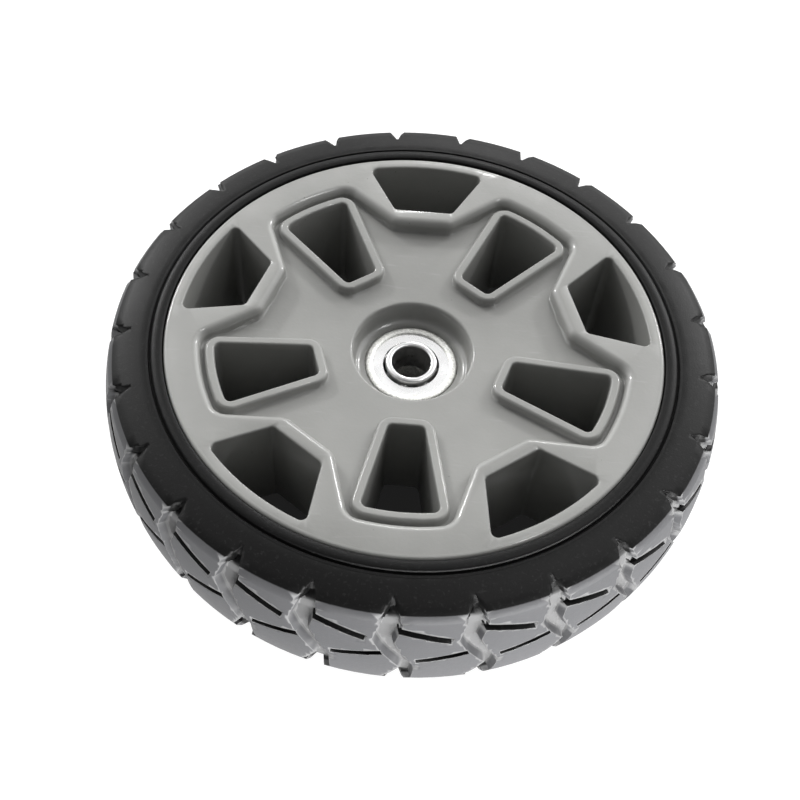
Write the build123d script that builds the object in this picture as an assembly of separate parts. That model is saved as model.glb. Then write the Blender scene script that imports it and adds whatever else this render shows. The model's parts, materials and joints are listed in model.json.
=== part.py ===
from build123d import *
import os
from math import cos, radians, sin, sqrt, tan

# Lawn mower wheel, in millimetres.
# It lies on its back: z = 0 is the plane it rests on, +Z is the spin axis and the face looks up.

# Tyre
tyre_diameter = 203.0
tyre_width = 48.4
crown_arc = 70.0
crown_half_width = 19.5
corner_radius = 97.1
corner_half_width = 21.6
bead_width = 3.6
bead_chamfer = 0.4
bead_groove_width = 1.2
bead_groove_depth = 1.2
sidewall_inset = 0.5
sidewall_bulge = 0.35
tyre_clearance = 0.1
bead_gap = 0.3

# Tread pattern
pitches = 25
tread_depth = 3.0
groove_phase = -104.0
groove_draft = 15.0
groove_right_side = [(3.9, 20.0), (0.9, 10.0), (3.5, 3.0), (7.4, -4.0), (7.6, -20.0)]
groove_left_side = [(-3.4, -20.0), (2.9, -5.0), (-3.5, 5.5), (-6.2, 11.0), (-4.2, 20.0)]
crown_lead = 0.5
notch_end_radius = 91.5
notch_length = 10.0
notch_mouth = 8.0
notch_start = 15.0
front_notch_shift = -0.6
back_notch_shift = 2.0
shoulder_step_height = 18.6
shoulder_step_start = 94.0
shoulder_step_width = 5.5
shoulder_step_shift = -1.2
sipe_depth = 2.4
front_sipe_width = 2.4
front_sipe_length = 16.6
front_sipe_height = 13.6
front_sipe_angle = 5.5
front_sipe_slope = -17.7
middle_sipe_width = 2.2
middle_sipe_length = 16.0
middle_sipe_height = 1.8
middle_sipe_angle = 8.5
middle_sipe_slope = 16.3

# Rim
rim_radius = 80.75
rim_width = 48.0
rim_edge_chamfer = 0.8
seat_radius = 79.0
seat_width = 34.0
wall = 2.6
skin = 3.0
barrel_wall = 2.8
web_back = 7.8
spokes = 5
spoke_phase = -90.0

# Dished face
dish_drop_at_hub = 7.3
dish_slope = 3.5
dish_outer_radius = 69.0
dish_outer_half_angle = 12.8
dish_inner_radius = 50.8
dish_inner_half_angle = 11.2
dish_corner = 5.0
step_round = 2.6

# Windows in the dish, with a raised lip
lip_window_inner = 32.9
lip_window_outer = 64.5
lip_window_inner_half_angle = 10.0
lip_window_outer_half_angle = 10.7
lip_width = 3.2
lip_height = 3.4
lip_chamfer = 0.9

# Windows in the flange
flange_window_inner = 56.6
flange_window_outer = 76.6
flange_window_inner_half_angle = 10.2
flange_window_outer_half_angle = 15.2
window_corner = 2.0
window_chamfer = 0.5

# Hub
hub_radius = 21.8
recess_mouth_radius = 19.7
recess_mouth_chamfer = 0.7
recess_floor_radius = 19.0
recess_floor_drop = 0.4
recess_cove = 0.8
hub_back_step = 2.0
hub_shoulder = 2.6

# Bearings
bearing_diameter = 31.0
bearing_width = 10.0
bearing_bore = 12.7
bearing_depth = 14.6
bearing_seat_clearance = 0.03
ring_round = 0.8
outer_ring_shoulder = 24.6
inner_ring_diameter = 17.2
inner_ring_stand = 1.2
bore_chamfer = 0.5
ball_diameter = 5.55
balls = 7
ball_clearance = 0.12
cage_width = 6.9
cage_thickness = 1.6
shield_thickness = 0.5
shield_inset = 0.6
shield_gap = 0.8
shield_groove = 0.5
spacer_wall = 1.8
spacer_bore_clearance = 0.01

# Heights that follow from the sizes
middle = tyre_width / 2
face = middle + rim_width / 2
rim_back = middle - rim_width / 2
dish_floor_at_hub = face - dish_drop_at_hub
front_bearing_face = face - bearing_depth
rear_bearing_face = rim_back + hub_back_step
spoke_pitch = 360 / spokes
tyre_radius = tyre_diameter / 2
half_width = tyre_width / 2
ball_pitch_radius = (outer_ring_shoulder + inner_ring_diameter) / 4
race_radius = ball_diameter / 2 + ball_clearance


def polar(radius, angle):
    """Plan point at a radius and an angle in degrees."""
    return (radius * cos(radians(angle)), radius * sin(radians(angle)))


def turned(section):
    """Full turn about Z of a closed section, given as points of radius and height."""
    return revolve(make_face(Polyline(*[(r, 0, z) for r, z in section], close=True)), Axis.Z)


def around(shape, count, phase=0.0):
    """Copies of a shape, evenly spaced about Z."""
    return [Rot(Z=phase + 360 * k / count) * shape for k in range(count)]


def dish_height(radius):
    """Height of the coned dish floor at a radius."""
    return dish_floor_at_hub + (radius - recess_mouth_radius) * tan(radians(dish_slope))


def window_outline(inner, outer, inner_half_angle, outer_half_angle):
    """Window centred on +X: straight inner side, straight flaring sides, outer side round about the axis."""
    inner_low = polar(inner, -inner_half_angle)
    inner_high = polar(inner, inner_half_angle)
    outer_low = polar(outer, -outer_half_angle)
    outer_high = polar(outer, outer_half_angle)
    sides = [
        Line(inner_low, outer_low),
        ThreePointArc(outer_low, (outer, 0), outer_high),
        Line(outer_high, inner_high),
        Line(inner_high, inner_low),
    ]
    outline = make_face(sides)
    return fillet(outline.vertices(), window_corner)


def dish_outline():
    """Edge of the dish: a lobe round each lipped window, drawn in between past each flange window."""
    sides = []
    for k in range(spokes):
        lobe = k * spoke_pitch
        valley = lobe + spoke_pitch / 2
        lobe_start = polar(dish_outer_radius, lobe - dish_outer_half_angle)
        lobe_end = polar(dish_outer_radius, lobe + dish_outer_half_angle)
        valley_start = polar(dish_inner_radius, valley - dish_inner_half_angle)
        valley_end = polar(dish_inner_radius, valley + dish_inner_half_angle)
        next_lobe = polar(dish_outer_radius, lobe + spoke_pitch - dish_outer_half_angle)
        sides.append(ThreePointArc(lobe_start, polar(dish_outer_radius, lobe), lobe_end))
        sides.append(Line(lobe_end, valley_start))
        sides.append(Line(valley_start, valley_end))
        sides.append(Line(valley_end, next_lobe))
    outline = make_face(sides)
    return fillet(outline.vertices(), dish_corner)


def above_cone(lift):
    """Space above the dish floor raised by a lift."""
    reach = rim_radius
    top = face + tyre_width
    return turned([(0, dish_height(0) + lift), (reach, dish_height(reach) + lift), (reach, top), (0, top)])


def rim_blank():
    """The rim as a solid of revolution, with its tyre seat and bearing seats, before it is dished and cored."""
    seat_low = middle - seat_width / 2
    seat_high = middle + seat_width / 2
    bearing_seat = bearing_diameter / 2 + bearing_seat_clearance
    shoulder = bearing_seat - hub_shoulder
    front_seat_end = front_bearing_face - bearing_width
    rear_seat_end = rear_bearing_face + bearing_width
    recess_floor = front_bearing_face - recess_floor_drop
    flare_start = dish_floor_at_hub - recess_mouth_chamfer
    return turned([
        (recess_mouth_radius + face - flare_start, face),
        (rim_radius, face),
        (rim_radius, seat_high),
        (seat_radius, seat_high),
        (seat_radius, seat_low),
        (rim_radius, seat_low),
        (rim_radius, rim_back),
        (seat_radius - barrel_wall, rim_back),
        (seat_radius - barrel_wall, rim_back + web_back),
        (hub_radius, rim_back + web_back),
        (hub_radius, rear_bearing_face),
        (bearing_seat, rear_bearing_face),
        (bearing_seat, rear_seat_end),
        (shoulder, rear_seat_end),
        (shoulder, front_seat_end),
        (bearing_seat, front_seat_end),
        (bearing_seat, recess_floor),
        (recess_floor_radius - recess_cove, recess_floor),
        (recess_floor_radius, recess_floor + recess_cove),
        (recess_mouth_radius, flare_start),
    ])


def round_face_edges(rim):
    """Chamfer the outer edge of the face and round the step down to the dish."""
    on_face = rim.faces().filter_by(Plane.XY).sort_by(Axis.Z)[-1]
    rim = chamfer(on_face.outer_wire().edges(), rim_edge_chamfer)
    on_face = rim.faces().filter_by(Plane.XY).sort_by(Axis.Z)[-1]
    return fillet(on_face.inner_wires()[0].edges(), step_round)


def break_window_mouths(rim):
    """Chamfer the edges of the windows that open on the flat face."""
    on_face = rim.faces().filter_by(Plane.XY).sort_by(Axis.Z)[-1]
    mouths = on_face.inner_wires().sort_by(SortBy.LENGTH)[:spokes]
    return chamfer(mouths.edges(), window_chamfer)


def lips(lip_window):
    """Raised lips round the windows of the dish, each with a flat top that leans with the dish floor."""
    slope = radians(dish_slope)
    top_plane = Plane(
        origin=(recess_mouth_radius, 0, dish_floor_at_hub + lip_height),
        x_dir=(cos(slope), 0, sin(slope)), z_dir=(-sin(slope), 0, cos(slope)))
    outline = Pos(X=-recess_mouth_radius) * offset(lip_window, lip_width)
    lip = extrude(top_plane * outline, -lip_height - skin / 2)
    lip = chamfer(lip.faces().sort_by(Axis.Z)[-1].edges(), lip_chamfer)
    lip -= extrude(lip_window, face)
    top = lip.faces().filter_by(top_plane).sort_by(Axis.Z)[-1]
    lip = chamfer(top.inner_wires().edges(), window_chamfer)
    return around(lip, spokes)


def back_cores(lip_window, flange_window):
    """Space cored out behind the face, which leaves window tubes, ribs, hub and barrel standing."""
    half = spoke_pitch / 2
    barrel_inner = seat_radius - barrel_wall
    rib = Rectangle(barrel_inner, wall, align=(Align.MIN, Align.CENTER))
    ribs = around(rib, 2 * spokes)
    flange_tubes = around(offset(flange_window, wall), spokes, half)
    lip_tubes = around(offset(lip_window, wall), spokes)
    behind_dish = Circle(barrel_inner) - Circle(hub_radius) - lip_tubes - flange_tubes - ribs
    behind_flange = Circle(barrel_inner) - offset(dish_outline(), skin) - flange_tubes - ribs
    low = extrude(behind_dish, face) - above_cone(-skin)
    high = extrude(behind_flange, face - skin)
    return low + high


def window_cutters(lip_window, flange_window):
    """Cutters right through for both rings of windows."""
    lip_cut = extrude(lip_window, face)
    flange_cut = extrude(flange_window, face)
    return around(lip_cut, spokes) + around(flange_cut, spokes, spoke_pitch / 2)


def wheel_rim():
    """The grey moulding: dished face, two rings of windows, hub, ribs and barrel, cored out from the back."""
    lip_window = window_outline(
        lip_window_inner, lip_window_outer, lip_window_inner_half_angle, lip_window_outer_half_angle)
    flange_window = window_outline(
        flange_window_inner, flange_window_outer,
        flange_window_inner_half_angle, flange_window_outer_half_angle)
    dish = extrude(dish_outline(), face + tyre_width) & above_cone(0)
    rim = round_face_edges(rim_blank() - dish)
    rim = break_window_mouths(rim - window_cutters(lip_window, flange_window))
    rim -= back_cores(lip_window, flange_window)
    return Rot(Z=spoke_phase) * (rim + lips(lip_window))


def crown_at(height):
    """Radius of the crowned tread at a height from the mid plane."""
    return tyre_radius - crown_arc + sqrt(crown_arc ** 2 - height ** 2)


def section(lines):
    """Turn a closed section, drawn in the XZ plane about the mid plane, about Z."""
    return Pos(Z=middle) * revolve(make_face(lines), Axis.Z)


def at(radius, height):
    """Point of a section in the XZ plane."""
    return (radius, 0, height)


def bead_points():
    """Front bead from the bore outwards: a plain ring, then the groove that parts it from the sidewall."""
    bore = rim_radius + bead_gap
    groove = bore + bead_width + bead_groove_width / 2
    return [
        (bore, half_width - bead_chamfer),
        (bore + bead_chamfer, half_width),
        (bore + bead_width - bead_chamfer, half_width),
        (bore + bead_width, half_width - bead_chamfer),
        (groove, half_width - bead_groove_depth),
        (groove + bead_groove_width / 2, half_width - sidewall_inset),
    ]


def tyre_blank():
    """The tyre as a solid of revolution: crowned tread, shoulders, sidewalls, beads, rib in the rim seat."""
    bead = bead_points()
    back_bead = [(r, -h) for r, h in reversed(bead)]
    rib_radius = seat_radius + tyre_clearance
    rib_half = seat_width / 2 - tyre_clearance
    bore = rim_radius + bead_gap
    rib = [(bore, -rib_half), (rib_radius, -rib_half), (rib_radius, rib_half), (bore, rib_half)]
    inside = back_bead + rib + bead
    edge = crown_at(crown_half_width)
    wall_start = bead[-1]
    wall_mid = ((wall_start[0] + corner_radius) / 2, (wall_start[1] + corner_half_width) / 2 + sidewall_bulge)
    return section([
        Polyline(*[at(r, h) for r, h in inside]),
        ThreePointArc(at(*wall_start), at(*wall_mid), at(corner_radius, corner_half_width)),
        Line(at(corner_radius, corner_half_width), at(edge, crown_half_width)),
        ThreePointArc(at(edge, crown_half_width), at(tyre_radius, 0), at(edge, -crown_half_width)),
        Line(at(edge, -crown_half_width), at(corner_radius, -corner_half_width)),
        ThreePointArc(at(corner_radius, -corner_half_width), at(wall_mid[0], -wall_mid[1]),
                      at(wall_start[0], -wall_start[1])),
    ])


def outside_groove_floor():
    """Space outside the floor of the tread grooves, which run out on the sidewalls."""
    floor_arc = crown_arc - tread_depth
    floor_half = crown_half_width - tread_depth / 2
    floor_edge = tyre_radius - crown_arc + sqrt(floor_arc ** 2 - floor_half ** 2)
    run_out = half_width - sidewall_inset
    reach = tyre_radius + tread_depth
    return section([
        ThreePointArc(
            at(floor_edge, -floor_half), at(tyre_radius - tread_depth, 0), at(floor_edge, floor_half)),
        Polyline(
            at(floor_edge, floor_half), at(notch_end_radius, run_out), at(notch_end_radius, tyre_width),
            at(reach, tyre_width), at(reach, -tyre_width), at(notch_end_radius, -tyre_width),
            at(notch_end_radius, -run_out), at(floor_edge, -floor_half)),
    ])


def tread_plane(radius, height):
    """Plane that faces outwards along X at a radius and a height from the mid plane."""
    return Plane(origin=(radius, 0, middle + height), x_dir=(0, 1, 0), z_dir=(1, 0, 0))


def cross_groove():
    """Bent groove across the tread between two blocks, with a notch that narrows down each sidewall."""
    bend = Polygon(*groove_right_side, *groove_left_side, align=None)
    top = tread_plane(tyre_radius + crown_lead, 0)
    run = extrude(top * bend, 2 * tread_depth, dir=(-1, 0, 0), taper=groove_draft)
    notch = Polygon((0, 0), (notch_length, -notch_mouth / 2), (notch_length, notch_mouth / 2), align=None)
    front_start = middle + notch_start
    back_start = middle - notch_start - half_width
    front = extrude(Pos(notch_end_radius, front_notch_shift, front_start) * notch, half_width)
    back = extrude(Pos(notch_end_radius, back_notch_shift, back_start) * notch, half_width)
    return (run + front + back) & outside_groove_floor()


def shoulder_step():
    """Step that faces up in the front shoulder, at the end of each block beside the groove."""
    reach = tyre_radius - shoulder_step_start
    plan = Polygon((0, 0), (reach, -shoulder_step_width), (reach, 0), align=None)
    start = Pos(shoulder_step_start, shoulder_step_shift, middle + shoulder_step_height)
    return extrude(start * plan, half_width)


def sipe(length, width, height, angle, slope):
    """Straight narrow slot in a block."""
    floor = tread_plane(crown_at(height) - sipe_depth, height)
    slot = floor * (Rot(Z=slope) * Rectangle(length, width))
    return Rot(Z=angle) * extrude(slot, tread_depth + sipe_depth)


def tyre():
    """The black moulded ring with its block tread."""
    cutters = [
        cross_groove(),
        shoulder_step(),
        sipe(front_sipe_length, front_sipe_width, front_sipe_height, front_sipe_angle, front_sipe_slope),
        sipe(middle_sipe_length, middle_sipe_width, middle_sipe_height, middle_sipe_angle, middle_sipe_slope),
    ]
    copies = [copy for cutter in cutters for copy in around(cutter, pitches, groove_phase)]
    return tyre_blank() - copies


def bearing(end_face, outward):
    """One shielded ball bearing, built from its outer end face, which looks up or down."""
    def turned_from_face(lines):
        """Turn a section whose heights run into the bearing from its outer face."""
        ring = revolve(make_face(lines), Axis.Z)
        return Pos(Z=end_face) * (Rot(X=180) * ring if outward > 0 else ring)

    mid = bearing_width / 2
    outer = bearing_diameter / 2
    shoulder = outer_ring_shoulder / 2
    rebate = shoulder + shield_groove
    seat = shield_inset + shield_thickness
    bore = bearing_bore / 2
    inner = inner_ring_diameter / 2
    outer_race_half = sqrt(race_radius ** 2 - (shoulder - ball_pitch_radius) ** 2)
    inner_race_half = sqrt(race_radius ** 2 - (ball_pitch_radius - inner) ** 2)
    outer_ring = turned_from_face([
        Polyline(
            at(shoulder, mid - outer_race_half), at(shoulder, seat), at(rebate, seat), at(rebate, 0),
            at(outer - ring_round, 0), at(outer, ring_round), at(outer, bearing_width - ring_round),
            at(outer - ring_round, bearing_width), at(rebate, bearing_width), at(rebate, bearing_width - seat),
            at(shoulder, bearing_width - seat), at(shoulder, mid + outer_race_half)),
        ThreePointArc(
            at(shoulder, mid + outer_race_half), at(ball_pitch_radius + race_radius, mid),
            at(shoulder, mid - outer_race_half)),
    ])
    inner_ring = turned_from_face([
        Polyline(
            at(inner, mid + inner_race_half), at(inner, bearing_width), at(bore, bearing_width),
            at(bore, bore_chamfer - inner_ring_stand), at(bore + bore_chamfer, -inner_ring_stand),
            at(inner - bore_chamfer, -inner_ring_stand), at(inner, bore_chamfer - inner_ring_stand),
            at(inner, mid - inner_race_half)),
        ThreePointArc(
            at(inner, mid - inner_race_half), at(ball_pitch_radius - race_radius, mid),
            at(inner, mid + inner_race_half)),
    ])

    def shield(start):
        """Flat pressed ring in the rebate of the outer ring."""
        hole = inner + shield_gap
        return turned_from_face([Polyline(
            at(hole, start), at(rebate, start), at(rebate, start + shield_thickness),
            at(hole, start + shield_thickness), close=True)])

    centre = end_face - outward * mid
    ball = Pos(ball_pitch_radius, 0, centre) * Sphere(ball_diameter / 2)
    pocket = Pos(ball_pitch_radius, 0, centre) * Rot(Y=90) * Cylinder(race_radius, 2 * cage_thickness)
    band = Cylinder(ball_pitch_radius + cage_thickness / 2, cage_width)
    band -= Cylinder(ball_pitch_radius - cage_thickness / 2, cage_width)
    return {
        "outer_ring": outer_ring,
        "inner_ring": inner_ring,
        "balls": Compound(children=around(ball, balls)),
        "cage": Pos(Z=centre) * band - around(pocket, balls),
        "outer_shield": shield(shield_inset),
        "inner_shield": shield(bearing_width - shield_inset - shield_thickness),
    }


def bearing_spacer():
    """Tube that keeps the two inner rings apart."""
    bore = bearing_bore / 2 + spacer_bore_clearance
    low = rear_bearing_face + bearing_width
    high = front_bearing_face - bearing_width
    return turned([(bore, low), (bore + spacer_wall, low), (bore + spacer_wall, high), (bore, high)])


def main():
    """Build every piece and write one STEP file for each."""
    os.makedirs("parts", exist_ok=True)
    nodes = {"wheel_rim": wheel_rim(), "tyre": tyre(), "bearing_spacer": bearing_spacer()}
    for place, end_face, outward in (("front", front_bearing_face, 1), ("rear", rear_bearing_face, -1)):
        for piece, shape in bearing(end_face, outward).items():
            nodes[f"{place}_bearing_{piece}"] = shape
    for name, shape in nodes.items():
        export_step(shape, f"parts/{name}.step")
        print(name, round(shape.volume), len(shape.faces()))


main()
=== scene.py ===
# %% [markdown]
# # Dressing a lawn mower wheel
# The wheel was modelled in a CAD program and packed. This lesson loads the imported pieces, gives each one
# a smooth finished surface and a material made only of shader nodes, and lights it as in a product picture.

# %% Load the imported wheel
import json
from math import cos, radians, sin

import bpy
import bmesh
import numpy as np
from mathutils import Euler, Matrix, Vector


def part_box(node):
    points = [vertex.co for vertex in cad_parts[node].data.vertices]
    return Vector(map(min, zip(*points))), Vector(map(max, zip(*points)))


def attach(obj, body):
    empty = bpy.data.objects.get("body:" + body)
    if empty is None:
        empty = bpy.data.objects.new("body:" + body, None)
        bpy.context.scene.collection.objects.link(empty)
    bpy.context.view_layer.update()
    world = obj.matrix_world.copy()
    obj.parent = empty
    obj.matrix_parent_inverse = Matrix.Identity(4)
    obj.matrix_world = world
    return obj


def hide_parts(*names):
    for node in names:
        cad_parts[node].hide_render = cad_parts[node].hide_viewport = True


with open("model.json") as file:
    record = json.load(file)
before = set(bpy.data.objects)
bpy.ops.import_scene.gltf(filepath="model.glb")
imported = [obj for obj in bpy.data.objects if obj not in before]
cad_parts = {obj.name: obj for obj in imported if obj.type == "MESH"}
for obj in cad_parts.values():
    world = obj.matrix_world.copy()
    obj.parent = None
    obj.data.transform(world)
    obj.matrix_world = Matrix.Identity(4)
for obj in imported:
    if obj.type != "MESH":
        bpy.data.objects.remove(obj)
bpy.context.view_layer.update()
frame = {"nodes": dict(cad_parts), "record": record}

# %% [markdown]
# ## Sizes that the materials use
# Blender works in metres. These few sizes say where the materials change along the radius of the wheel.

# %% Driving sizes
tyre_low, tyre_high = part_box("tyre")
rim_low, rim_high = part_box("wheel_rim")
tyre_radius = (tyre_high[0] - tyre_low[0]) / 2
rim_radius = (rim_high[0] - rim_low[0]) / 2
face_height = rim_high[2]
middle_height = (tyre_low[2] + tyre_high[2]) / 2
dish_slope = radians(3.5)
crown_arc = 0.07
tread_depth = 0.003
shoulder_height = 0.0215
sipe_reach = 0.0176
bead_gap = 0.0003
bead_width = 0.0036
bead_groove_width = 0.0012
bead_groove_depth = 0.0012
sidewall_inset = 0.0005
skin = 0.00002
merge_distance = 1e-6
print("tyre radius", round(tyre_radius, 4), "rim radius", round(rim_radius, 4))

# %% [markdown]
# ## Finished copies of the CAD pieces
# A CAD node's mesh is loose triangles. A copy is merged first, so that its rounds can be shaded smooth.
# Edges sharper than a given angle stay crisp, and the Weighted Normal modifier keeps large flat faces flat.

# %% Copy, merge and smooth a node
smooth_angles = {"rim_plastic": 52.0, "tyre_rubber": 24.0}
usual_smooth_angle = 48.0


def finished_copy(node_name, piece_name, body, slot):
    """Stand a merged, smoothly shaded copy of a CAD node in for that node."""
    mesh = bpy.data.meshes.new(piece_name)
    work = bmesh.new()
    work.from_mesh(frame["nodes"][node_name].data)
    bmesh.ops.remove_doubles(work, verts=work.verts, dist=merge_distance)
    work.to_mesh(mesh)
    work.free()
    mesh.shade_smooth()
    mesh.set_sharp_from_angle(angle=radians(smooth_angles.get(slot, usual_smooth_angle)))
    piece = bpy.data.objects.new(piece_name, mesh)
    bpy.context.scene.collection.objects.link(piece)
    normals = piece.modifiers.new("flat faces", "WEIGHTED_NORMAL")
    normals.keep_sharp = True
    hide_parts(node_name)
    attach(piece, body)
    print(piece_name, len(mesh.polygons), "faces")
    return piece


# %% [markdown]
# ## True normals on the dish
# The dish floor is a shallow cone cut into long triangles, which would shade unevenly. Its corners get the
# normal of the true cone instead: straight up, leaning towards the axis by the slope.

# %% Normals of a cone
dish_margin = 0.0008
cone_match = radians(2.6)


def corner_array(collection, name, width, kind=np.float32):
    """One property of all members of a mesh collection, as an array with a row for each."""
    flat = np.empty(len(collection) * width, kind)
    collection.foreach_get(name, flat)
    return flat.reshape(-1, width)


def settle_dish(piece):
    """Bake the modifiers, then give the corners that lie on the cone the normal of the cone."""
    bpy.context.view_layer.update()
    baked = bpy.data.meshes.new_from_object(piece.evaluated_get(bpy.context.evaluated_depsgraph_get()))
    piece.modifiers.clear()
    piece.data = baked
    normals = corner_array(baked.corner_normals, "vector", 3)
    corner_vertex = corner_array(baked.loops, "vertex_index", 1, np.int32)[:, 0]
    places = corner_array(baked.vertices, "co", 3)[corner_vertex]
    leaning = np.repeat(corner_array(baked.polygons, "normal", 3), 3, axis=0)
    reach = np.linalg.norm(places[:, :2], axis=1, keepdims=True)
    cone = np.hstack([-sin(dish_slope) * places[:, :2] / reach, np.full_like(reach, cos(dish_slope))])
    below_face = places[:, 2] < face_height - dish_margin
    on_cone = below_face & (np.sum(leaning * cone, axis=1) > cos(cone_match))
    normals[on_cone] = cone[on_cone]
    baked.normals_split_custom_set(normals)
    print("cone corners", int(on_cone.sum()), "of", len(on_cone))


# %% [markdown]
# ## Turned skins
# A CAD circle arrives as a polygon. Where the eye follows a long round edge, a thin skin is turned over it:
# the edge of the rim's face, and the bead of the tyre with the groove round it.

# %% Surface of revolution
turns = 480
round_points = 9
skin_smooth_angle = 50.0
rim_edge_round = 0.0011
rim_edge_strip = 0.0016
rim_edge_wall = 0.003
bead_overlap = 0.00006
bead_wall = 0.002
bead_inner_round = 0.0004
bead_outer_round = 0.0005
groove_overlap = 0.00008
sidewall_strip = 0.0007


def lathe(name, profile, body):
    """A profile point of radius r and height z goes to (r cos a, r sin a, z) for evenly spaced angles a."""
    radius, height = np.array(profile).T
    angle = np.linspace(0.0, 2.0 * np.pi, turns, endpoint=False)[:, None]
    level = np.broadcast_to(height, (turns, len(height)))
    points = np.stack([radius * np.cos(angle), radius * np.sin(angle), level], axis=-1).reshape(-1, 3)
    here = np.arange(turns)[:, None] * len(radius) + np.arange(len(radius) - 1)
    there = np.roll(here, -1, axis=0)
    quads = np.stack([here, here + 1, there + 1, there], axis=-1).reshape(-1, 4)
    mesh = bpy.data.meshes.new(name)
    mesh.from_pydata(points.tolist(), [], quads.tolist())
    mesh.shade_smooth()
    mesh.set_sharp_from_angle(angle=radians(skin_smooth_angle))
    piece = bpy.data.objects.new(name, mesh)
    bpy.context.scene.collection.objects.link(piece)
    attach(piece, body)
    print(name, len(quads), "faces")
    return piece


def quarter_round(radius, height, size):
    """Profile points of a convex edge from a level face outwards and down to an upright wall."""
    swing = np.linspace(0.0, np.pi / 2.0, round_points)
    return np.column_stack([radius - size + size * np.sin(swing), height - size + size * np.cos(swing)])


def rim_edge_profile():
    """Outer edge of the rim's face: a level strip, a round and a short upright wall."""
    outer = rim_radius + skin
    top = face_height + skin / 2.0
    edge = quarter_round(outer, top, rim_edge_round)
    return np.vstack([[outer - rim_edge_strip, top], edge, [outer, top - rim_edge_wall]])


def bead_profile():
    """Bead of the tyre: a flat ring with rounded edges, a groove, and the start of the sidewall."""
    top = tyre_high[2] + skin / 2.0
    bore = rim_radius + bead_gap - bead_overlap
    outer = rim_radius + bead_gap + bead_width + bead_overlap
    groove = rim_radius + bead_gap + bead_width + bead_groove_width / 2.0
    wall = groove + bead_groove_width / 2.0
    inner_edge = quarter_round(bore, top, bead_inner_round) * (-1.0, 1.0) + (2.0 * bore, 0.0)
    return np.vstack([
        [bore, top - bead_wall], inner_edge[::-1], quarter_round(outer, top, bead_outer_round),
        [groove, top - bead_groove_depth + groove_overlap],
        [wall - groove_overlap, top - sidewall_inset], [wall + sidewall_strip, top - sidewall_inset - skin]])


# %% [markdown]
# ## Shader maths that reads as Python
# A `Flow` wraps one output socket. Sums, products and quotients of flows add Math nodes, and `make` adds any
# other node: its settings first, then its sockets.

# %% A socket that takes part in sums
def feed(tree, value, target):
    """Give an input socket a constant, or link another node's output to it."""
    if isinstance(value, Flow):
        tree.links.new(value.socket, target)
    else:
        target.default_value = value


class Flow:
    """One output socket of a shader node."""

    def __init__(self, tree, socket):
        self.tree = tree
        self.socket = socket

    def make(self, kind, settings=None, sockets=None, output=0):
        """Add any node, with its settings first and then its sockets, and return one of its outputs."""
        node = self.tree.nodes.new(kind)
        for name, value in (settings or {}).items():
            setattr(node, name, value)
        for key, value in (sockets or {}).items():
            feed(self.tree, value, node.inputs[key])
        return Flow(self.tree, node.outputs[output])

    def math(self, operation, *values):
        """Add a Math node."""
        return self.make("ShaderNodeMath", {"operation": operation}, dict(enumerate(values)))

    def __add__(self, other):
        return self.math("ADD", self, other)

    def __radd__(self, other):
        return self.math("ADD", other, self)

    def __sub__(self, other):
        return self.math("SUBTRACT", self, other)

    def __rsub__(self, other):
        return self.math("SUBTRACT", other, self)

    def __mul__(self, other):
        return self.math("MULTIPLY", self, other)

    def __rmul__(self, other):
        return self.math("MULTIPLY", other, self)

    def __truediv__(self, other):
        return self.math("DIVIDE", self, other)

    def __rtruediv__(self, other):
        return self.math("DIVIDE", other, self)

    def ramp(self, low, high):
        """Smooth step from 0 at a low value to 1 at a high value."""
        settings = {"interpolation_type": "SMOOTHSTEP"}
        return self.make("ShaderNodeMapRange", settings, {"Value": self, "From Min": low, "From Max": high})

    def noise(self, scale, detail=2.0, roughness=0.5):
        """Noise from 0 to 1 at these coordinates, with a scale in cells per metre."""
        sockets = {"Vector": self, "Scale": scale, "Detail": detail, "Roughness": roughness}
        return self.make("ShaderNodeTexNoise", None, sockets)

    def specks(self, scale, size):
        """Sparse round specks: 1 inside a speck, with a size as a share of the cell."""
        cell = self.make("ShaderNodeTexVoronoi", None, {"Vector": self, "Scale": scale})
        return 1.0 - cell.ramp(size * 0.6, size)

    def stretched(self, factors):
        """The same coordinates, stretched by a factor along each axis."""
        return self.make("ShaderNodeVectorMath", {"operation": "MULTIPLY"}, {0: self, 1: factors})

    def dot(self, other):
        """Product of two directions, as a value."""
        settings = {"operation": "DOT_PRODUCT"}
        return self.make("ShaderNodeVectorMath", settings, {0: self, 1: other}, "Value")

    def axis(self, number):
        """One component of these coordinates."""
        return self.make("ShaderNodeSeparateXYZ", None, {0: self}, number)

    def blend(self, first, second):
        """Colour that goes from the first to the second as this value goes from 0 to 1."""
        node = self.tree.nodes.new("ShaderNodeMix")
        node.data_type = "RGBA"
        feed(self.tree, self, node.inputs[0])
        feed(self.tree, first, node.inputs[6])
        feed(self.tree, second, node.inputs[7])
        return Flow(self.tree, node.outputs[2])


def radius_of(place):
    """Distance of a point from the spin axis."""
    flat = place.stretched((1.0, 1.0, 0.0))
    return flat.make("ShaderNodeVectorMath", {"operation": "LENGTH"}, {0: flat}, "Value")


def grey(level):
    """Neutral colour of a level."""
    return (level, level, level, 1.0)


# %% [markdown]
# ## One frame for every material
# Each material starts from the Object coordinates. A recipe returns the values that vary, and the constants
# go straight onto the shader's own sockets. The Bevel node rounds the look of every edge by a small radius.

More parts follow.
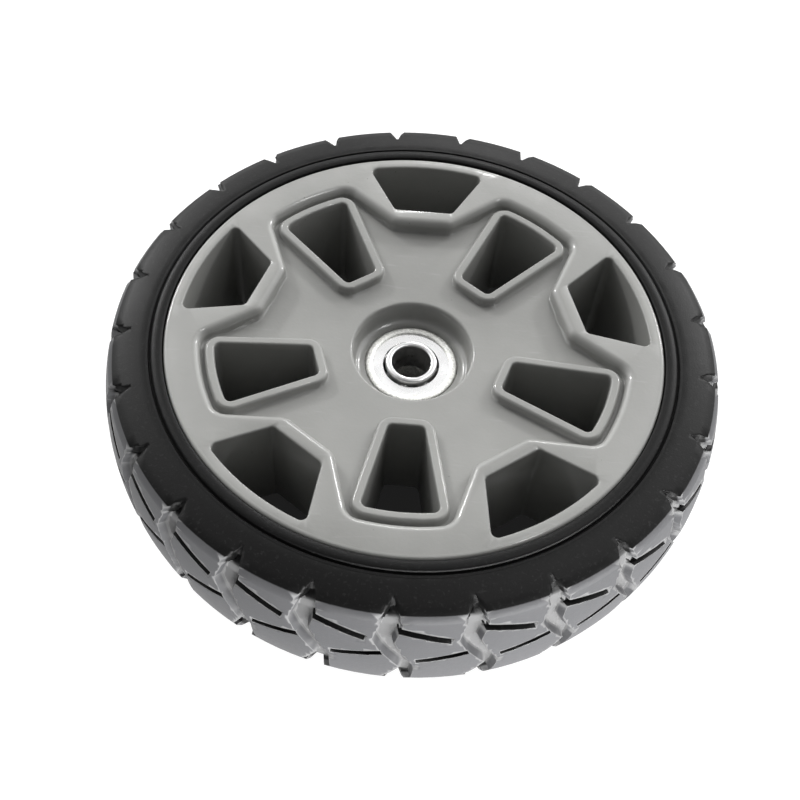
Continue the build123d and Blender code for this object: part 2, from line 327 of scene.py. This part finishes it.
# %% Build a material from a recipe
def material(name, recipe, constants):
    """Material whose recipe maps coordinates to varying inputs, with a bump height under "Height"."""
    made = bpy.data.materials.new(name)
    made.use_nodes = True
    tree = made.node_tree
    shader = tree.nodes["Principled BSDF"]
    place = Flow(tree, tree.nodes.new("ShaderNodeTexCoord").outputs["Object"])
    values = recipe(place)
    edge = place.make("ShaderNodeBevel", {"samples": 6}, {"Radius": values.pop("Edge")})
    height = values.pop("Height")
    depth = values.pop("Depth")
    bump = place.make("ShaderNodeBump", None, {"Height": height, "Distance": depth, "Normal": edge})
    feed(tree, bump, shader.inputs["Normal"])
    for key, value in list(values.items()) + list(constants.items()):
        feed(tree, value, shader.inputs[key])
    return made


# %% [markdown]
# ## The grey moulded plastic
# Satin plastic with cloudy tone from the moulding, a fine grain, a few dark specks and faint rubbed streaks.

# %% Rim material
rim_dark = (0.206, 0.207, 0.198, 1.0)
rim_pale = (0.237, 0.238, 0.228, 1.0)
rim_rubbed = grey(0.34)
rim_speck = grey(0.06)


def rim_plastic(place):
    """Cloudy mid grey with grain, specks and rubbed streaks."""
    clouds = place.noise(scale=28.0, detail=4.0, roughness=0.55)
    grain = place.noise(scale=2600.0, detail=2.0)
    specks = place.specks(scale=230.0, size=0.055) * place.noise(scale=45.0).ramp(0.5, 0.62)
    streaks = place.stretched((90.0, 700.0, 90.0)).noise(scale=1.0, detail=3.0).ramp(0.62, 0.78)
    tone = clouds.ramp(0.3, 0.7).blend(rim_dark, rim_pale)
    tone = (streaks * 0.18).blend(tone, rim_rubbed)
    tone = (specks * 0.8).blend(tone, rim_speck)
    return {
        "Base Color": tone,
        "Roughness": 0.38 + 0.1 * clouds + 0.06 * streaks,
        "Height": 0.4 * grain + place.noise(scale=900.0, detail=1.0),
        "Depth": 0.00003,
        "Edge": 0.0009,
    }


# %% [markdown]
# ## The black rubber
# The sidewall is nearly black. The tread blocks carry a painted grey sheen for the reflection of the white
# floor, with a paler painted sheen on the floors of the grooves, a little dust and paler edges. Sipes,
# notches and shoulders stay black.

# %% Tyre material
sidewall_tone = grey(0.003)
# Painted sheen: the grey of the tread and the paler grey of the groove floors stand for the reflection of
# the white floor.
tread_sheen_dark = (0.052, 0.0523, 0.0545, 1.0)
tread_sheen_pale = (0.07, 0.0704, 0.0735, 1.0)
groove_sheen_tone = grey(0.13)
dust_tone = grey(0.2)
pale_edge_tone = grey(0.16)
pale_edge_width = 0.00035
pale_edge_lean = (0.86, 0.985)
square_on = (0.7, 0.85)
sipe_floor_start = (0.3, 0.42)
sipe_floor_end = (0.86, 0.93)
groove_floor = (0.7, 0.9)
notch_floor = (0.4, 0.7)
notch_height = (0.0172, 0.0188)
sipe_fade = 0.0006
shoulder_fade = 0.0004
bead_rise = 9.0


def deep(depth, shares):
    """Smooth step between two shares of the depth of the tread."""
    return depth.ramp(shares[0] * tread_depth, shares[1] * tread_depth)


def painted_sheen_masks(place):
    """Two masks of painted sheen: the blocks and wide grooves without sidewalls and sipes, and the depth of
    the grooves.
    """
    reach = radius_of(place)
    height = place.axis(2) - middle_height
    drop = crown_arc ** 2 - height * height
    depth = tyre_radius - crown_arc + drop.math("SQRT", drop) - reach
    normal = Flow(place.tree, place.tree.nodes.new("ShaderNodeNewGeometry").outputs["True Normal"])
    flat = place.stretched((1.0, 1.0, 0.0))
    outward = flat.make("ShaderNodeVectorMath", {"operation": "NORMALIZE"}, {0: flat})
    facing = normal.dot(outward)
    half_deep = deep(depth, sipe_floor_start) - deep(depth, sipe_floor_end)
    sipe_floor = half_deep * facing.ramp(*square_on)
    offside = height.math("ABSOLUTE", height)
    level = normal.axis(2).math("ABSOLUTE", normal.axis(2)).ramp(*square_on)
    sipe_wall = level * (1.0 - offside.ramp(sipe_reach, sipe_reach + sipe_fade))
    shoulder = offside.ramp(shoulder_height - shoulder_fade, shoulder_height)
    notch = offside.ramp(*notch_height) * deep(depth, notch_floor)
    tread = (1.0 - sipe_floor) * (1.0 - sipe_wall) * (1.0 - shoulder) * (1.0 - notch)
    return tread, deep(depth, groove_floor)


def pale_edge(place, radius):
    """1 along edges, where the rounded normal leans away from the true one."""
    true = Flow(place.tree, place.tree.nodes.new("ShaderNodeNewGeometry").outputs["True Normal"])
    rounded = place.make("ShaderNodeBevel", {"samples": 6}, {"Radius": radius})
    return 1.0 - true.dot(rounded).ramp(*pale_edge_lean)


def bead_round(place):
    """Height of a low round over the flat of the bead, in units of the bump's depth."""
    centre = rim_radius + bead_gap + bead_width / 2.0
    across = (radius_of(place) - centre) / (bead_width / 2.0)
    return bead_rise * (1.0 - (across * across).math("MINIMUM", across * across, 1.0))


def tyre_rubber(place):
    """Black rubber, with a painted grey sheen on the tread for the floor's reflection, paler block edges and
    a fine moulded texture.
    """
    tread, groove = painted_sheen_masks(place)
    clouds = place.noise(scale=40.0, detail=4.0, roughness=0.6)
    dust = place.noise(scale=900.0, detail=3.0, roughness=0.6).ramp(0.55, 0.75)
    # Painted sheen on the outward faces of the tread, paler on the groove floors.
    tread_sheen = clouds.blend(tread_sheen_dark, tread_sheen_pale)
    tread_sheen = (groove * 0.8).blend(tread_sheen, groove_sheen_tone)
    tone = tread.blend(sidewall_tone, tread_sheen)
    tone = (dust * 0.08 * clouds).blend(tone, dust_tone)
    # Paler along the edges of the tread blocks.
    tone = (pale_edge(place, pale_edge_width) * tread * 0.7).blend(tone, pale_edge_tone)
    return {
        "Base Color": tone,
        "Roughness": 0.4 + 0.12 * clouds,
        "Height": place.noise(scale=1800.0, detail=3.0) + 0.5 * place.noise(scale=500.0) + bead_round(place),
        "Depth": 0.00004,
        "Edge": 0.0002,
    }


# %% [markdown]
# ## The metals
# The outer ring is zinc plated and mottled, the shield is polished, and the inner ring is ground all round.

# %% Bearing materials
zinc_dark = (0.5, 0.5, 0.48, 1.0)
zinc_pale = (0.8, 0.8, 0.77, 1.0)
shield_tone = grey(0.86)
pit_tone = grey(0.08)
ground_dark = grey(0.5)
ground_pale = grey(0.68)


def ring_steel(place):
    """Zinc plate with a mottled bloom."""
    mottle = place.noise(scale=1500.0, detail=3.0, roughness=0.6).ramp(0.35, 0.7)
    return {
        "Base Color": mottle.blend(zinc_dark, zinc_pale),
        "Roughness": 0.48 + 0.16 * mottle,
        "Height": mottle + place.noise(scale=4000.0),
        "Depth": 0.00003,
        "Edge": 0.0004,
    }


def shield_steel(place):
    """Polished pressed sheet with a few dark pits."""
    pits = place.specks(scale=900.0, size=0.09) * place.noise(scale=300.0).ramp(0.52, 0.6)
    clouds = place.noise(scale=220.0, detail=3.0)
    return {
        "Base Color": pits.blend(shield_tone, pit_tone),
        "Roughness": 0.2 + 0.14 * clouds + 0.3 * pits,
        "Height": clouds,
        "Depth": 0.00002,
        "Edge": 0.0002,
    }


def ground_steel(place):
    """Ground steel with fine rings round the axis."""
    around = place.make("ShaderNodeCombineXYZ", None, {0: radius_of(place), 2: place.axis(2)})
    rings = around.noise(scale=9000.0)
    clouds = place.noise(scale=260.0, detail=3.0)
    return {
        "Base Color": clouds.blend(ground_dark, ground_pale),
        "Roughness": 0.2 + 0.1 * clouds + 0.08 * rings,
        "Height": rings,
        "Depth": 0.00001,
        "Edge": 0.0003,
    }


satin = {"Metallic": 0.0, "Specular IOR Level": 0.3, "Coat Weight": 0.6, "Coat Roughness": 0.14}
matt = {"Metallic": 0.0, "Specular IOR Level": 0.12}
metal = {"Metallic": 1.0}
materials = {
    "rim_plastic": material("rim_plastic", rim_plastic, satin),
    "tyre_rubber": material("tyre_rubber", tyre_rubber, matt),
    "ring_steel": material("ring_steel", ring_steel, metal),
    "shield_steel": material("shield_steel", shield_steel, metal),
    "ground_steel": material("ground_steel", ground_steel, metal),
    "cage_steel": material("cage_steel", ring_steel, metal),
}
print("materials", sorted(materials))

# %% [markdown]
# ## Dress every node
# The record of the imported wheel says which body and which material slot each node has.

# %% Finished pieces
record = frame["record"]
body_of_node = {node: body for body, nodes in record["behaviour"]["bodies"].items() for node in nodes}
slot_of_node = {part["node"]: part["material_slot"] for part in record["subparts"]}
for node_name, body in body_of_node.items():
    piece = finished_copy(node_name, node_name + "_finished", body, slot_of_node[node_name])
    piece.data.materials.clear()
    piece.data.materials.append(materials[slot_of_node[node_name]])
    if node_name == "wheel_rim":
        settle_dish(piece)
skins = (
    ("rim_edge_skin", rim_edge_profile(), "rim_plastic"),
    ("tyre_bead_skin", bead_profile(), "tyre_rubber"),
)
for skin_name, profile, slot in skins:
    turned = lathe(skin_name, profile, "wheel")
    turned.data.materials.append(materials[slot])

# %% [markdown]
# ## Floor
# A plain white floor that glows like a light table, so the wheel casts only a faint shadow. A dark patch of
# painted shade, no wider than the wheel, stands for the shaded floor under it and shows through the windows.

# %% Floor and painted shade under the wheel
floor_size = 6.0
floor_drop = 0.0001
paper_tone = 0.2
paper_glow = 0.95
# Painted shade: a dark patch under the wheel stands for the shaded floor seen through the windows.
painted_shade_tone = grey(0.012)
shade_patch_inset = 0.006
shade_patch_fade = 0.003


def floor_paper(place, level):
    """White paper of a level with a dark round patch of painted shade under the wheel."""
    shade_patch_edge = rim_radius - shade_patch_inset
    # Painted shade: dark inside the wheel's radius, white paper outside.
    shade_patch = 1.0 - radius_of(place).ramp(shade_patch_edge, shade_patch_edge + shade_patch_fade)
    return shade_patch.blend(grey(level), painted_shade_tone)


floor_mesh = bpy.data.meshes.new("floor")
half = floor_size / 2
floor_mesh.from_pydata([(-half, -half, -floor_drop), (half, -half, -floor_drop), (half, half, -floor_drop),
                        (-half, half, -floor_drop)], [], [(0, 1, 2, 3)])
floor = bpy.data.objects.new("floor", floor_mesh)
bpy.context.scene.collection.objects.link(floor)
paper = bpy.data.materials.new("paper")
paper.use_nodes = True
paper_place = Flow(paper.node_tree, paper.node_tree.nodes.new("ShaderNodeTexCoord").outputs["Object"])
paper_shader = paper.node_tree.nodes["Principled BSDF"]
feed(paper.node_tree, floor_paper(paper_place, paper_tone), paper_shader.inputs["Base Color"])
feed(paper.node_tree, floor_paper(paper_place, 1.0), paper_shader.inputs["Emission Color"])
paper_shader.inputs["Emission Strength"].default_value = paper_glow
paper_shader.inputs["Roughness"].default_value = 0.9
paper_shader.inputs["Specular IOR Level"].default_value = 0.1
floor_mesh.materials.append(paper)

# %% [markdown]
# ## Light
# The surroundings are brightest to both sides behind the wheel and dim in front, and the camera sees them
# as white. Four small panels set the white glints on the edges of the face. A low strip in front lights the
# tread alone, because it stands no higher than the tyre.

# %% Panels and surroundings
def panel(name, place, width, height, power):
    """Soft rectangular light that looks at the wheel."""
    light = bpy.data.lights.new(name, "AREA")
    light.shape = "RECTANGLE"
    light.size = width
    light.size_y = height
    light.energy = power
    lamp = bpy.data.objects.new(name, light)
    lamp.location = place
    ahead = Vector((0.0, 0.0, middle_height)) - Vector(place)
    lamp.rotation_euler = ahead.to_track_quat("-Z", "Y").to_euler()
    bpy.context.scene.collection.objects.link(lamp)


dome_front = 0.2
dome_back = 0.9
dome_sides = 2.5
dome_top = 0.3
side_edge = (0.06, 0.36)
back_edge = (-0.3, 0.5)
top_edge = (0.84, 0.93)
panel("back glint", place=(0.1, 1.0, 0.55), width=0.25, height=0.1, power=2.5)
panel("ceiling glint", place=(0.33, 0.12, 1.05), width=0.3, height=0.06, power=1.7)
panel("right glint", place=(0.75, 0.8, 0.6), width=0.2, height=0.1, power=5.5)
panel("left glint", place=(-0.75, 0.75, 0.6), width=0.2, height=0.1, power=6.5)
panel("tread strip", place=(0.3, -0.55, middle_height), width=1.0, height=0.04, power=15.0)
world = bpy.data.worlds.new("dim room")
world.use_nodes = True
bpy.context.scene.world = world
background = world.node_tree.nodes["Background"]
seen = Flow(world.node_tree, world.node_tree.nodes.new("ShaderNodeLightPath").outputs["Is Camera Ray"])
towards = Flow(world.node_tree, world.node_tree.nodes.new("ShaderNodeTexCoord").outputs["Generated"])
aside = towards.axis(0).math("ABSOLUTE", towards.axis(0)).ramp(*side_edge)
dome = aside.blend(grey(dome_back), grey(dome_sides))
dome = towards.axis(1).ramp(*back_edge).blend(grey(dome_front), dome)
dome = towards.axis(2).ramp(*top_edge).blend(dome, grey(dome_top))
feed(world.node_tree, seen.blend(dome, grey(1.0)), background.inputs["Color"])

# %% [markdown]
# ## Camera
# The camera stands where the picture's camera stood: above the wheel and a little to one side.

# %% Camera from the picture
picture_width = 800
picture_focal = 1232.9
picture_centre = (349.3, 407.0)
camera_aim = Vector((-0.01823, -0.02973, 0.0482))
camera_distance = 0.38273
camera_elevation = 55.52
camera_heading = 3.79
camera_roll = 1.773

camera = bpy.data.objects.new("camera", bpy.data.cameras.new("camera"))
turn = Euler((radians(90.0 - camera_elevation), 0.0, radians(camera_heading))).to_matrix()
turn = turn @ Matrix.Rotation(radians(camera_roll), 3, "Z")
camera_place = camera_aim + turn @ Vector((0.0, 0.0, camera_distance))
camera.matrix_world = Matrix.Translation(camera_place) @ turn.to_4x4()
camera.data.sensor_width = 36.0
camera.data.lens = camera.data.sensor_width * picture_focal / picture_width
camera.data.shift_x = (picture_width / 2 - picture_centre[0]) / picture_width
camera.data.shift_y = (picture_centre[1] - picture_width / 2) / picture_width
camera.data.clip_start = 0.01
bpy.context.scene.collection.objects.link(camera)
scene = bpy.context.scene
scene.camera = camera
scene.render.engine = "CYCLES"
scene.render.resolution_x = picture_width
scene.render.resolution_y = picture_width
scene.view_settings.view_transform = "Standard"
print("lens", round(camera.data.lens, 2), "place", [round(v, 4) for v in camera.matrix_world.translation])
